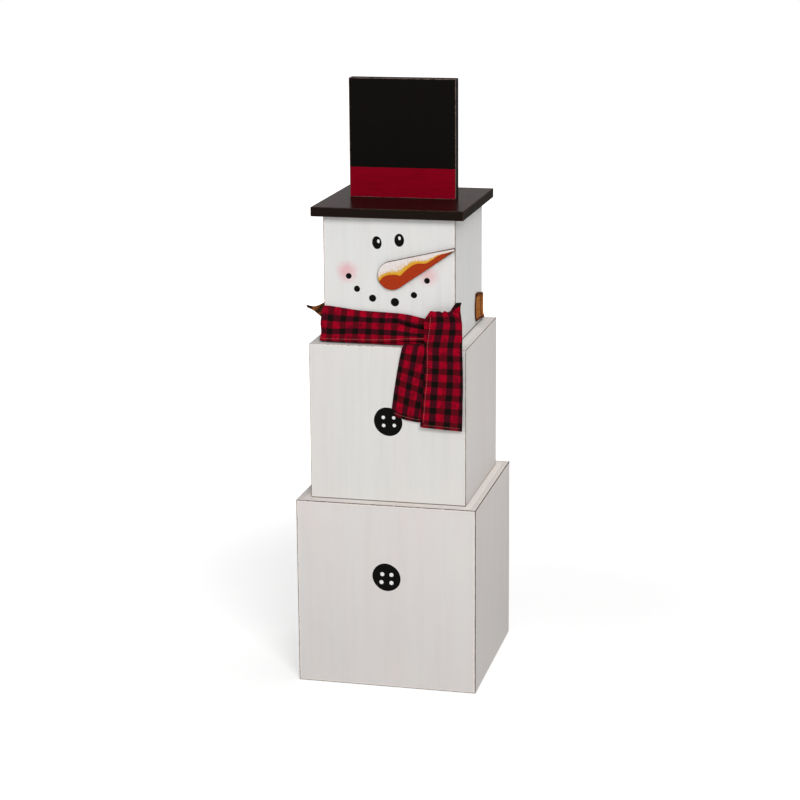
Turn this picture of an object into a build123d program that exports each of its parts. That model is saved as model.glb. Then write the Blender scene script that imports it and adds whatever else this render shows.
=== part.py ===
from build123d import *
import os
from math import asin, cos, sin

# A free-standing wooden snowman: three hollow boxes, a two-board hat, a flat
# carrot nose and a cloth scarf on the front and on the back. Millimetres, +Z up.
# X runs across the face, the face looks along -Y, and the origin is the centre
# of the base, on the surface that the figure stands on.

os.makedirs("parts", exist_ok=True)

# Boxes: outside width and depth, and height
bottom_side = 279.4
bottom_height = 292.1
middle_side = 241.3
middle_height = 241.3
head_side = 201.6
head_height = 192.1
wall = 9.0
arris = 0.9
batten = 15.0

# Hat
brim_side = 231.8
brim_thick = 14.3
crown_width = 165.1
crown_height = 180.95
crown_thick = 19.0
hat_arris = 1.2

# Carrot nose: a round base that tapers to a small round tip
nose_base_radius = 21.6
nose_tip_radius = 2.3
nose_reach = 103.2
nose_thick = 5.5
nose_tilt = 24.0
nose_base_x = 4.9
nose_base_up = 105.2
nose_ease = 0.8

# Wood screws
screw_radius = 2.0
screw_head_radius = 4.0
screw_head_height = 2.4
screw_point = 3.0
screw_slot = 1.0
pilot_gap = 0.05
shank_gap = 0.3
tip_cover = 2.0
tip_gap = 0.5
screw_inset = 14.0
crown_screw_inset = 35.0
crown_bite = 24.0
batten_bite = 22.0

# Scarves: clearances, then the pieces of one scarf
cloth_gap = 0.3
band_thick = 9.0
band_end_height = 55.0
band_middle_height = 49.0
band_knot_height = 42.0
wrap_thick = 4.0
front_wrap = 9.0
back_wrap = 62.0
knot_width = 43.3
knot_thick = 11.0
knot_height = 49.0
ear_height = 69.0
ear_reach = 12.0
ear_thick = 5.0
over_tail_width = 58.0
over_tail_drop = 120.0
over_tail_flare = 5.0
over_tail_thick = 6.0
under_tail_width = 58.0
under_tail_drop = 94.0
under_tail_slant = 22.0
under_tail_lean = 16.4
under_tail_show = 32.0
under_tail_thick = 3.5
tail_overhang = 16.0
loose_end_run = 149.0
loose_end_height = 42.0
loose_end_flap = 38.3
loose_end_tip_up = 44.5

# Levels that follow from the sizes above
middle_z = bottom_height
head_z = middle_z + middle_height
brim_z = head_z + head_height
crown_z = brim_z + brim_thick
head_half = head_side / 2
middle_half = middle_side / 2


def save(name, *solids):
    """Writes one sub-part; a group of separate solids becomes one compound."""
    shape = solids[0] if len(solids) == 1 else Compound(children=list(solids))
    export_step(shape, f"parts/{name}.step")


def block(x_size, y_size, z_size, z):
    """An upright block, centred on the Z axis, with its underside at z."""
    return Pos(0, 0, z + z_size / 2) * Box(x_size, y_size, z_size)


def four_corners(offset):
    """The four places at plus and minus offset in X and Y."""
    return [(x, y) for x in (-offset, offset) for y in (-offset, offset)]


# ---------------------------------------------------------------- screws


def screw(length, countersunk):
    """A screw that points up, with its head's bearing face (or its flush top) at z 0."""
    low = (Align.CENTER, Align.CENTER, Align.MIN)
    high = (Align.CENTER, Align.CENTER, Align.MAX)
    shank_length = length - screw_point
    shank = Cylinder(screw_radius, shank_length, align=low)
    point = Pos(0, 0, shank_length) * Cone(screw_radius, screw_radius / 5, screw_point, align=low)
    if countersunk:
        head = Cone(screw_head_radius, screw_radius, screw_head_height, align=low)
        drive_z = 0
    else:
        head = Cylinder(screw_head_radius, screw_head_height, align=high)
        drive_z = -screw_head_height
    slot = Box(screw_head_radius, screw_slot, screw_head_height, align=(Align.CENTER,) * 3)
    cross = Pos(0, 0, drive_z) * (slot + Rot(0, 0, 90) * slot)
    return shank + point + head - cross


def clearance_hole(depth, countersunk):
    """The hole in the board that a screw's head pulls down, from z 0 up."""
    low = (Align.CENTER, Align.CENTER, Align.MIN)
    hole = Cylinder(screw_radius + shank_gap, depth, align=low)
    if countersunk:
        hole += Cone(screw_head_radius, screw_radius, screw_head_height, align=low)
    return hole


def pilot_hole(depth):
    """The blind hole that a screw bites into, from z 0 up."""
    low = (Align.CENTER, Align.CENTER, Align.MIN)
    return Cylinder(screw_radius + pilot_gap, depth + tip_gap, align=low)


def drill(solid, hole, places, z):
    """Cuts the same hole into solid at each place."""
    for x, y in places:
        solid -= Pos(x, y, z) * hole
    return solid


def copies(solid, places, z):
    """One copy of solid at each place."""
    return [Pos(x, y, z) * solid for x, y in places]


# ---------------------------------------------------------------- boxes


def box_panels(side, height, z):
    """The six panels of one hollow box: four mitred walls, and a top and a base between them."""
    half = side / 2
    inner = half - wall
    blank = block(side, side, height, z)
    outside = fillet(blank.edges(), arris)
    plan = Polyline((-half, -half), (half, -half), (inner, -inner), (-inner, -inner), close=True)
    front = Pos(0, 0, z) * extrude(make_face(plan), height)
    panels = {}
    for name, turn in (("front", 0), ("right", 90), ("back", 180), ("left", 270)):
        panels[name] = (Rot(0, 0, turn) * front) & outside
    panels["top"] = block(2 * inner, 2 * inner, wall, z + height - wall)
    panels["base"] = block(2 * inner, 2 * inner, wall, z)
    return panels


def box_battens(side, height, z):
    """The four square battens in the corners of one box, between its base and its top."""
    centre = side / 2 - wall - batten / 2
    stick = block(batten, batten, height - 2 * wall, z + wall)
    return copies(stick, four_corners(centre), 0)


def inner_screw_places(side):
    """Where screws go through a box's top or base: inside its battens."""
    return four_corners(side / 2 - wall - batten - screw_inset)


bottom = box_panels(bottom_side, bottom_height, 0)
middle = box_panels(middle_side, middle_height, middle_z)
head = box_panels(head_side, head_height, head_z)
bottom_battens = box_battens(bottom_side, bottom_height, 0)
middle_battens = box_battens(middle_side, middle_height, middle_z)
head_battens = box_battens(head_side, head_height, head_z)

# Screws from each box's top panel up into the box above it
tier_bite = wall - tip_cover
tier_screw = screw(wall + tier_bite, countersunk=False)
lower_places = inner_screw_places(middle_side)
upper_places = inner_screw_places(head_side)
panel_hole = clearance_hole(wall, countersunk=False)
bottom["top"] = drill(bottom["top"], panel_hole, lower_places, middle_z - wall)
middle["base"] = drill(middle["base"], pilot_hole(tier_bite), lower_places, middle_z)
middle["top"] = drill(middle["top"], panel_hole, upper_places, head_z - wall)
head["base"] = drill(head["base"], pilot_hole(tier_bite), upper_places, head_z)

# Screws from below through the bottom box's base into its battens
base_places = four_corners(bottom_side / 2 - wall - batten / 2)
base_screw = screw(wall + batten_bite, countersunk=True)
base_hole = clearance_hole(wall, countersunk=True)
bottom["base"] = drill(bottom["base"], base_hole, base_places, 0)
batten_holes = copies(pilot_hole(batten_bite), base_places, wall)
bottom_battens = [stick - hole for stick, hole in zip(bottom_battens, batten_holes)]

# ---------------------------------------------------------------- hat


def hat_brim():
    """The square board on the head, with the crown's countersunk holes and the head's pilots."""
    board = fillet(block(brim_side, brim_side, brim_thick, brim_z).edges(), hat_arris)
    board = drill(board, pilot_hole(brim_thick - tip_cover - tip_gap), upper_places, brim_z)
    return drill(board, clearance_hole(brim_thick, countersunk=True), crown_places, brim_z)


def hat_crown():
    """The board that stands on the brim."""
    board = fillet(block(crown_width, crown_thick, crown_height, crown_z).edges(), hat_arris)
    return drill(board, pilot_hole(crown_bite), crown_places, crown_z)


crown_places = [(x, 0) for x in (crown_screw_inset - crown_width / 2, crown_width / 2 - crown_screw_inset)]
brim_screw = screw(wall + brim_thick - tip_cover - tip_gap, countersunk=False)
crown_screw = screw(brim_thick + crown_bite, countersunk=True)
head["top"] = drill(head["top"], panel_hole, upper_places, brim_z - wall)

# ---------------------------------------------------------------- nose


def carrot_nose():
    """A flat board cut to a tapered carrot, glued to the front of the head."""
    lean = asin((nose_base_radius - nose_tip_radius) / nose_reach)
    base_x = nose_base_radius * sin(lean)
    base_y = nose_base_radius * cos(lean)
    tip_x = nose_reach + nose_tip_radius * sin(lean)
    tip_y = nose_tip_radius * cos(lean)
    outline = [
        Line((base_x, base_y), (tip_x, tip_y)),
        ThreePointArc((tip_x, tip_y), (nose_reach + nose_tip_radius, 0), (tip_x, -tip_y)),
        Line((tip_x, -tip_y), (base_x, -base_y)),
        ThreePointArc((base_x, -base_y), (-nose_base_radius, 0), (base_x, base_y)),
    ]
    face = make_face(outline)
    place = Pos(nose_base_x, head_z + nose_base_up) * Rot(0, 0, nose_tilt)
    board = extrude(Plane.XZ.offset(head_half) * (place * face), nose_thick)
    front = board.faces().sort_by(Axis.Y)[0]
    return fillet(front.edges(), nose_ease)


# ---------------------------------------------------------------- scarves
# A scarf is laid out on the front of the figure. "Out" is the distance from the
# middle plane towards the viewer, "up" is the height over the ledge where the
# head stands on the middle box. The back scarf is the same, turned half round.


def side_profile(points, reach):
    """A solid with the side profile points (out, up), that runs from -reach to +reach in X."""
    corners = [(-reach, -out, head_z + up) for out, up in points]
    return extrude(make_face(Polyline(*corners, close=True)), 2 * reach, dir=(1, 0, 0))


def front_outline(points, out_near, out_far):
    """A solid with the front outline points (x, up), between two distances out."""
    corners = [(x, -out_near, head_z + up) for x, up in points]
    return extrude(make_face(Polyline(*corners, close=True)), out_far - out_near, dir=(0, -1, 0))


def plan_outline(points, up_low, up_high):
    """A solid with the plan points (x, out), between two heights."""
    corners = [(x, -out, head_z + up_low) for x, out in points]
    return extrude(make_face(Polyline(*corners, close=True)), up_high - up_low, dir=(0, 0, 1))


skin = head_half + cloth_gap
knot_left = head_half - knot_width
under_left = knot_left - under_tail_show
under_out = middle_half + cloth_gap + under_tail_thick
over_ledge = cloth_gap + under_tail_thick + cloth_gap
knot_out = skin + knot_thick
over_high = knot_out + cloth_gap
over_low = max(under_out + cloth_gap, over_high)
over_right = head_half + tail_overhang
over_left = over_right - over_tail_width


def scarf_band(wrap):
    """The length of scarf across the head, with its end wrapped round one corner by wrap."""
    left = -skin - wrap_thick
    right = knot_left - cloth_gap
    front = front_outline(
        [
            (left, cloth_gap),
            (under_left - cloth_gap, cloth_gap),
            (under_left - cloth_gap, over_ledge),
            (right, over_ledge),
            (right, band_knot_height),
            (0, band_middle_height),
            (left, band_end_height),
        ],
        skin,
        skin + band_thick,
    )
    end = plan_outline(
        [(-skin, skin), (left, skin), (left, skin - wrap), (-skin, skin - wrap)],
        cloth_gap,
        band_knot_height,
    )
    return front + end


def scarf_knot():
    """The gathered cloth under the over tail, with the ear that stands up beside it."""
    gather = front_outline(
        [
            (knot_left, over_ledge),
            (head_half, over_ledge),
            (head_half, knot_height),
            (knot_left, band_knot_height),
        ],
        skin,
        knot_out,
    )
    ear = front_outline(
        [
            (head_half - ear_thick, band_knot_height),
            (head_half + ear_reach, band_knot_height),
            (head_half + ear_reach, ear_height),
            (head_half + ear_reach / 2, ear_height),
            (head_half - ear_thick, knot_height),
        ],
        skin,
        skin + ear_thick,
    )
    return gather + ear


def scarf_over_tail():
    """The tail that folds over the knot and hangs down the middle box."""
    side = side_profile(
        [
            (over_high, knot_height),
            (over_high, over_ledge + over_tail_thick),
            (over_low, over_ledge),
            (over_low, -over_tail_drop),
            (over_low + over_tail_thick, -over_tail_drop),
            (over_low + over_tail_thick, over_ledge + over_tail_thick),
            (over_high + over_tail_thick, knot_height),
        ],
        over_right,
    )
    outline = front_outline(
        [
            (over_left, band_knot_height),
            (over_left + over_tail_flare, knot_height),
            (over_right, knot_height),
            (over_right, -over_tail_drop),
            (over_left - over_tail_flare, -over_tail_drop),
        ],
        skin,
        over_low + over_tail_thick,
    )
    return side & outline


def scarf_under_tail():
    """The tail that lies on the ledge under the band and hangs, leaning, behind the over tail."""
    top = cloth_gap + under_tail_thick
    low = under_tail_drop + under_tail_slant
    side = side_profile(
        [
            (skin, cloth_gap),
            (middle_half + cloth_gap, cloth_gap),
            (middle_half + cloth_gap, -low),
            (under_out, -low),
            (under_out, top),
            (skin, top),
        ],
        middle_half,
    )
    outline = front_outline(
        [
            (under_left, top),
            (under_left, 0),
            (under_left - under_tail_lean, -under_tail_drop),
            (under_left - under_tail_lean + under_tail_width, -low),
            (under_left + under_tail_width, 0),
            (under_left + under_tail_width, top),
        ],
        skin,
        under_out,
    )
    return side & outline


def scarf_loose_end():
    """The end that runs from the knot along the head's side and stands out in a point."""
    far = skin - loose_end_run
    low_up = band_end_height - loose_end_height
    strip = plan_outline(
        [(skin, skin), (skin + wrap_thick, skin), (skin + wrap_thick, far), (skin, far)],
        low_up,
        band_knot_height,
    )
    flap = front_outline(
        [
            (skin, low_up),
            (skin + loose_end_flap / 2, low_up + loose_end_flap / 2),
            (skin + loose_end_flap, loose_end_tip_up),
            (skin + wrap_thick, band_end_height),
            (skin, band_end_height),
        ],
        far,
        far + wrap_thick,
    )
    return strip + flap


def save_scarf(prefix, turn, wrap):
    """Writes the four pieces that both scarves have."""
    pieces = {
        "band": scarf_band(wrap),
        "knot": scarf_knot(),
        "over_tail": scarf_over_tail(),
        "under_tail": scarf_under_tail(),
    }
    for name, solid in pieces.items():
        save(f"{prefix}_{name}", Rot(0, 0, turn) * solid)


# ---------------------------------------------------------------- output

for tier, panels, battens in (
    ("bottom", bottom, bottom_battens),
    ("middle", middle, middle_battens),
    ("head", head, head_battens),
):
    for name, panel in panels.items():
        save(f"{tier}_{name}_panel", panel)
    save(f"{tier}_battens", *battens)

save("base_screws", *copies(base_screw, base_places, 0))
save("lower_tier_screws", *copies(tier_screw, lower_places, middle_z - wall))
save("upper_tier_screws", *copies(tier_screw, upper_places, head_z - wall))
save("brim_screws", *copies(brim_screw, upper_places, brim_z - wall))
save("crown_screws", *copies(crown_screw, crown_places, brim_z))
save("hat_brim", hat_brim())
save("hat_crown", hat_crown())
save("carrot_nose", carrot_nose())
save_scarf("front_scarf", 0, front_wrap)
save_scarf("back_scarf", 180, back_wrap)
save("back_scarf_loose_end", Rot(0, 0, 180) * scarf_loose_end())
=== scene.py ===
from collections import namedtuple
from functools import cache, partialmethod
from math import cos, pi, radians, sin, sqrt

import bpy
from mathutils import Matrix, Vector
from mathutils import noise as perlin


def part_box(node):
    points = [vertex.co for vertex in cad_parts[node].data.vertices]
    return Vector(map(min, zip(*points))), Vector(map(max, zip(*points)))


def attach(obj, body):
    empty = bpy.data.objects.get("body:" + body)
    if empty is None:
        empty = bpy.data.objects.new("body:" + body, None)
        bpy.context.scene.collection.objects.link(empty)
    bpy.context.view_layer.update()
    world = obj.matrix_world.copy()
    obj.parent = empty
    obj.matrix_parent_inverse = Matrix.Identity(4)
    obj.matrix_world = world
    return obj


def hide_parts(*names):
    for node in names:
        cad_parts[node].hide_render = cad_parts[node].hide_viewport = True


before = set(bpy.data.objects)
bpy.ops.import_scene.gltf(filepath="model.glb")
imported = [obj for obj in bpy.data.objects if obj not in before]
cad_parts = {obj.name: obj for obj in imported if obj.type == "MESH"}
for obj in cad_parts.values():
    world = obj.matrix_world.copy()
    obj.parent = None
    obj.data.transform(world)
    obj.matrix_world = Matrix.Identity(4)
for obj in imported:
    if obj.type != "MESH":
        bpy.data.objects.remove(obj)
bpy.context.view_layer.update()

# The looks of a free-standing wooden snowman: whitewashed boxes, a painted hat and face,
# and a folded cloth scarf on the front and on the back. Shapes are worked out in millimetres.
# For someone who faces the figure, X points to the right, Y away and Z up.

MM = 0.001
WHITE = (1, 1, 1, 1)
scene = bpy.context.scene


def limits(node):
    """Lowest and highest corner of a CAD node, in millimetres."""
    low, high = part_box(node)
    return low / MM, high / MM


def tier_limits(tier):
    """Lowest and highest corner of one box of the figure, in millimetres."""
    low, high = limits(f"{tier}_front_panel")
    return low, Vector((high.x, -low.y, high.z))


bottom_low, bottom_high = tier_limits("bottom")
middle_low, middle_high = tier_limits("middle")
head_low, head_high = tier_limits("head")
ledge_z = head_low.z

# ---------- nodes


def srgb(red, green, blue):
    """A colour as the nodes want it, from its 0 to 255 screen values."""
    def linear(level):
        level = level / 255
        return level / 12.92 if level <= 0.04045 else ((level + 0.055) / 1.055) ** 2.4
    return (linear(red), linear(green), linear(blue), 1)


class Look:
    """A tree of nodes, built node by node; each method returns the socket it makes."""

    def __init__(self, owner):
        self.owner = owner
        self.at = None
        owner.use_nodes = True
        self.tree = owner.node_tree
        self.tree.nodes.clear()

    def node(self, kind, inputs=(), output=0, **settings):
        """A node with its settings, and its inputs by name or number: sockets or values."""
        made = self.tree.nodes.new("ShaderNode" + kind)
        for name, value in settings.items():
            setattr(made, name, value)
        for name, value in dict(inputs).items():
            if isinstance(value, bpy.types.NodeSocket):
                self.tree.links.new(value, made.inputs[name])
            else:
                made.inputs[name].default_value = value
        return made.outputs[output] if output is not None else made

    def vector(self, operation, first, second=(0, 0, 0)):
        output = "Value" if operation in ("LENGTH", "DOT_PRODUCT") else "Vector"
        return self.node("VectorMath", {0: first, 1: second}, output, operation=operation)

    def math(self, operation, first, second=0.0):
        return self.node("Math", {0: first, 1: second}, operation=operation)

    add = partialmethod(math, "ADD")
    minus = partialmethod(math, "SUBTRACT")
    times = partialmethod(math, "MULTIPLY")
    most = partialmethod(math, "MAXIMUM")
    least = partialmethod(math, "MINIMUM")

    def split(self, vector):
        return list(self.node("SeparateXYZ", {0: vector}, None).outputs)

    def noise(self, scale, detail=2.0, roughness=0.5):
        """Soft noise, 0 to 1; its scale, to the millimetre, is a number or one for each axis."""
        vector = self.at
        if isinstance(scale, tuple):
            vector, scale = self.vector("MULTIPLY", vector, scale), 1.0
        inputs = {"Vector": vector, "Scale": scale, "Detail": detail, "Roughness": roughness}
        return self.node("TexNoise", inputs)

    def step(self, value, low, high):
        """0 below low and 1 above high, and smooth between them."""
        inputs = {"Value": value, "From Min": low, "From Max": high}
        return self.node("MapRange", inputs, interpolation_type="SMOOTHSTEP")

    def fall(self, value, low, high):
        """1 below low and 0 above high, and smooth between them."""
        return self.minus(1.0, self.step(value, low, high))

    def spread(self, value, low, high):
        """A 0 to 1 value, stretched over low to high."""
        inputs = {"Value": value, "To Min": low, "To Max": high}
        return self.node("MapRange", inputs)

    def mix(self, factor, first, second):
        """The second colour over the first one; each is a socket, or three screen values."""
        under, over = [srgb(*c) if isinstance(c, tuple) else c for c in (first, second)]
        return self.node("Mix", {0: factor, 6: under, 7: over}, 2, data_type="RGBA")

    def wash(self, under, over, pattern, low, high, most=1.0):
        """The second colour over the first one where a pattern rises from low to high."""
        share = self.step(pattern, low, high)
        if most < 1:
            share = self.spread(share, 0.0, most)
        return self.mix(share, under, over)

    def finish(self, colour, roughness, height, depth, strength, **constants):
        """The material itself; its bumps are depth millimetres for a height of 1.

        The constants are set on the surface's own sockets.
        """
        bumps = {"Height": height, "Distance": depth * MM, "Strength": strength}
        inputs = {"Base Color": colour, "Roughness": roughness, "Normal": self.node("Bump", bumps)}
        for name, value in constants.items():
            inputs[name.replace("_", " ")] = value
        surface = self.node("BsdfPrincipled", inputs)
        self.node("OutputMaterial", {"Surface": surface}, None)
        return self.owner


def new_look(name):
    """The nodes of a new material; at is the place on the object, in millimetres."""
    look = Look(bpy.data.materials.new(name))
    place = look.node("TexCoord", output="Object")
    look.at = look.vector("MULTIPLY", place, (1 / MM, 1 / MM, 1 / MM))
    return look


# ---------- camera and stage

CAMERA_AZIMUTH = radians(13.442)
CAMERA_ELEVATION = radians(14.267)
CAMERA_ROLL = radians(-0.432)
CAMERA_DISTANCE = 3.316867
CAMERA_LENS = 96.076
CAMERA_SENSOR = 36
CAMERA_NEAR = 0.1
CAMERA_FAR = 100
AIM = Vector((0, 0, 0.46))
AIM_RIGHT = -0.008647
AIM_UP = -0.037134


def add_object(name, data):
    thing = bpy.data.objects.new(name, data)
    scene.collection.objects.link(thing)
    return thing


def outward(azimuth, elevation):
    """The way out from the figure; azimuth 0 is to the front, and 90 degrees to the right."""
    level = cos(elevation)
    return Vector((sin(azimuth) * level, -cos(azimuth) * level, sin(elevation)))


def make_camera():
    """The camera, in front of the figure, a little to its right and above it."""
    back = outward(CAMERA_AZIMUTH, CAMERA_ELEVATION)
    right = Vector((cos(CAMERA_AZIMUTH), sin(CAMERA_AZIMUTH), 0))
    up = back.cross(right)
    aim = AIM + right * AIM_RIGHT + up * AIM_UP
    rolled_right = right * cos(CAMERA_ROLL) + up * sin(CAMERA_ROLL)
    rolled_up = up * cos(CAMERA_ROLL) - right * sin(CAMERA_ROLL)
    turn = Matrix((rolled_right, rolled_up, back)).transposed().to_4x4()
    data = bpy.data.cameras.new("camera")
    data.sensor_width = CAMERA_SENSOR
    data.lens = CAMERA_LENS
    data.clip_start = CAMERA_NEAR
    data.clip_end = CAMERA_FAR
    scene.camera = add_object("camera", data)
    scene.camera.matrix_world = Matrix.Translation(aim + back * CAMERA_DISTANCE) @ turn


def seen_directly(look):
    """1 for camera, glossy and transmission rays, and 0 for those that light the object."""
    rays = look.node("LightPath", output=None).outputs
    seen = look.most(rays["Is Camera Ray"], rays["Is Glossy Ray"])
    return look.most(seen, rays["Is Transmission Ray"])


WORLD_LIGHT = 0.216


def make_world():
    """Soft even light, and a white background."""
    world = bpy.data.worlds.new("studio")
    scene.world = world
    look = Look(world)
    light = look.node("Background", {"Color": WHITE, "Strength": WORLD_LIGHT})
    white = look.node("Background", {"Color": WHITE, "Strength": 1})
    chosen = look.node("MixShader", {0: seen_directly(look), 1: light, 2: white})
    look.node("OutputWorld", {"Surface": chosen}, None)


FLOOR_HALF = 15
FLOOR_DROP = 0.0004
FLOOR_COLOUR = (0.78, 0.78, 0.78, 1)
GLOW = {"From Min": 0.45, "From Max": 1.4, "To Min": 0.46, "To Max": 0.98}


def make_floor():
    """A pale floor that keeps the object's shadow and glows white away from it."""
    mesh = bpy.data.meshes.new("floor")
    corners = [(-FLOOR_HALF, -FLOOR_HALF), (FLOOR_HALF, -FLOOR_HALF), (FLOOR_HALF, FLOOR_HALF),
               (-FLOOR_HALF, FLOOR_HALF)]
    mesh.from_pydata([(x, y, -FLOOR_DROP) for x, y in corners], [], [(0, 1, 2, 3)])
    floor = add_object("floor", mesh)
    look = Look(bpy.data.materials.new("floor"))
    away = look.vector("LENGTH", look.node("TexCoord", output="Object"))
    glowing = look.node("MapRange", {"Value": away, **GLOW}, interpolation_type="SMOOTHSTEP")
    strength = look.times(seen_directly(look), glowing)
    glow = look.node("Emission", {"Color": WHITE, "Strength": strength})
    cover = look.node("BsdfDiffuse", {"Color": FLOOR_COLOUR})
    both = look.node("AddShader", {0: cover, 1: glow})
    look.node("OutputMaterial", {"Surface": both}, None)
    mesh.materials.append(look.owner)


# Azimuth and elevation in degrees, distance and size in metres, power in watts.
LAMPS = {
    "key_lamp": (27, 30, 5.0, 1.6, 116),
    "left_lamp": (-42, 20, 4.5, 3.0, 50),
    "back_lamp": (160, 48, 4.5, 2.5, 42),
    "top_lamp": (70, 76, 3.6, 1.5, 12),
}


def make_lamp(name, azimuth, elevation, distance, size, watts):
    """A square soft box that points at the middle of the figure."""
    data = bpy.data.lights.new(name, "AREA")
    data.shape = "SQUARE"
    data.size = size
    data.energy = watts
    lamp = add_object(name, data)
    back = outward(radians(azimuth), radians(elevation))
    lamp.location = AIM + back * distance
    lamp.rotation_mode = "QUATERNION"
    lamp.rotation_quaternion = back.to_track_quat("Z", "Y")


make_camera()
make_world()
make_floor()
for lamp_name, lamp_settings in LAMPS.items():
    make_lamp(lamp_name, *lamp_settings)
scene.view_settings.view_transform = "Standard"

# ---------- wood and paint


def edge_distances(look, low, high):
    """How far a point is from a block's nearest edge, and from its nearest face."""
    centre = (low + high) / 2
    half = (high - low) / 2
    apart = look.vector("ABSOLUTE", look.vector("SUBTRACT", look.at, centre))
    inside = look.vector("SUBTRACT", half, apart)
    x, y, z = look.split(inside)
    furthest = look.most(look.most(x, y), z)
    nearest = look.least(look.least(x, y), z)
    total = look.vector("DOT_PRODUCT", inside, (1, 1, 1))
    return look.minus(total, furthest), nearest


PAINT_GREY = (214, 213, 211)
PAINT_CREAM = (240, 230, 221)
# Grey that a box's paint takes towards its foot: painted shade.
FOOT_PAINTED_SHADE = (202, 198, 195)
WORN_WOOD = ((60, 51, 46), (98, 84, 74))
BARE_BOARD = ((176, 141, 104), (150, 116, 82))
# Dark line along each box's foot: partly wear, partly painted contact shadow.
FOOT_LINE_WEAR_AND_SHADE = (62, 52, 46)
CHEEK = (231, 150, 160)
PAINT_DEPTH = (1.5, 2.5)
# Noises, here and below: the scale, to the millimetre, for all axes or for each; detail; roughness.
BROAD_WASH = ((0.028, 0.028, 0.0035), 3.0, 0.55)
STROKES = ((0.11, 0.11, 0.006), 4.0, 0.55)
BRISTLES = ((1.9, 1.9, 0.03), 3.0, 0.6)
PATCHES = (0.021, 2.0, 0.5)
RAGGED = ((0.22, 0.22, 0.09), 4.0, 0.65)
WORN_GRAIN = ((1.1, 1.1, 0.05), 3.0, 0.6)
BOARD_GRAIN = ((0.9, 0.9, 0.06), 4.0, 0.5)
SPONGE = (0.16, 3.0, 0.6)


def white_paint(name, low, high, wear, foot, foot_painted_shade, white, pink_wash, cheeks=()):
    """Brushed whitewash on a box, with sanded edges; inside, the bare board."""
    look = new_look(name)
    up = look.split(look.at)[2]
    edge, depth = edge_distances(look, low, high)
    strokes = look.noise(*STROKES)
    bristles = look.noise(*BRISTLES)
    # The white and pink hold painted light and shade of their group of panels.
    colour = look.wash(white, pink_wash, look.noise(*BROAD_WASH), 0.36, 0.66)
    colour = look.wash(colour, PAINT_GREY, strokes, 0.42, 0.72, 0.30)
    colour = look.wash(colour, PAINT_GREY, bristles, 0.5, 0.8, 0.15)
    colour = look.wash(colour, PAINT_CREAM, look.noise(*PATCHES), 0.4, 0.75, 0.08)
    for cheek in cheeks:
        colour = rosy(look, colour, *cheek)
    # Greyer towards the box's foot: painted shade.
    foot_shade = look.spread(look.step(up, low.z, high.z), foot_painted_shade, 0.0)
    colour = look.mix(foot_shade, colour, FOOT_PAINTED_SHADE)
    colour, bare = sanded(look, colour, edge, wear, look.minus(up, low.z), foot)
    board = look.mix(look.noise(*BOARD_GRAIN), *BARE_BOARD)
    colour = look.wash(colour, board, depth, *PAINT_DEPTH)
    roughness = look.add(look.spread(strokes, 0.46, 0.66), look.times(bare, 0.15))
    height = look.add(look.times(strokes, 0.6), look.times(bristles, 0.4))
    height = look.minus(height, look.times(bare, 0.5))
    return look.finish(colour, roughness, height, 0.16, 0.55, Specular_IOR_Level=0.35)


def sanded(look, colour, edge, wear, above_foot, foot):
    """Paint rubbed through along the edges, and a dark line along the foot that is partly wear and partly
    painted contact shadow: the colour, and where wood is bare.
    """
    ragged = look.spread(look.noise(*RAGGED), -0.8 * wear, 0.8 * wear)
    worn_edge = look.minus(edge, ragged)
    halo = look.fall(worn_edge, 1.6 * wear, 3.4 * wear)
    colour = look.mix(look.times(halo, 0.8), colour, PAINT_CREAM)
    bare = look.fall(worn_edge, 0.75 * wear, 1.15 * wear)
    # A dark line along the foot: partly bare wood, partly painted contact shadow.
    foot_wear_and_shade = look.fall(above_foot, 1.1 * foot, 2.3 * foot)
    bare = look.most(bare, foot_wear_and_shade)
    wood = look.mix(look.noise(*WORN_GRAIN), *WORN_WOOD)
    colour = look.mix(bare, colour, wood)
    return look.mix(foot_wear_and_shade, colour, FOOT_LINE_WEAR_AND_SHADE), bare


def rosy(look, colour, x, z, radius, strength):
    """A soft round blush, dabbed on with a sponge."""
    offset = look.vector("SUBTRACT", look.at, (x, head_low.y, z))
    uneven = look.spread(look.noise(*SPONGE), -0.25 * radius, 0.25 * radius)
    away = look.add(look.vector("LENGTH", offset), uneven)
    blush = look.fall(away, 0.15 * radius, 1.25 * radius)
    return look.mix(look.times(blush, strength), colour, CHEEK)


HAT_STROKES = ((0.05, 0.4, 0.4), 4.0, 0.6)
HAT_BRISTLES = ((0.10, 1.6, 1.6), 3.0, 0.6)
HAT_RAGGED = (0.11, 4.0, 0.65)
RIBBON_WOBBLE = ((0.05, 0, 0), 2.0, 0.5)
RIBBON_STREAKS = ((0.03, 0.5, 0.5), 4.0, 0.6)


def hat_paint(name, low, high, face, edge_colour, wear, roughness, band=None, top=None, **constants):
    """Dark brushed paint on a board, rubbed through along its edges; a top colour, where given, is a painted
    reflection on the top face.
    """
    look = new_look(name)
    up = look.split(look.at)[2]
    edge = edge_distances(look, low, high)[0]
    strokes = look.noise(*HAT_STROKES)
    bristles = look.noise(*HAT_BRISTLES)
    colour = look.mix(look.spread(strokes, 0.0, 0.7), *face)
    if band:
        colour = hat_band(look, colour, low, *band)
    # The top face takes a painted reflection.
    if top:
        colour = look.wash(colour, top, up, high.z - 0.9, high.z - 0.2)
    ragged = look.spread(look.noise(*HAT_RAGGED), -0.9 * wear, 0.9 * wear)
    bare = look.fall(look.minus(edge, ragged), 0.6 * wear, 1.2 * wear)
    colour = look.mix(bare, colour, edge_colour)
    rough = look.add(look.spread(strokes, *roughness), look.times(bare, 0.15))
    if top:
        on_side = look.fall(up, high.z - 1.0, high.z - 0.5)
        rough = look.add(rough, look.times(on_side, 0.3))
    height = look.add(look.times(strokes, 0.5), look.times(bristles, 0.5))
    return look.finish(colour, rough, height, 0.12, 0.5, **constants)


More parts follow.
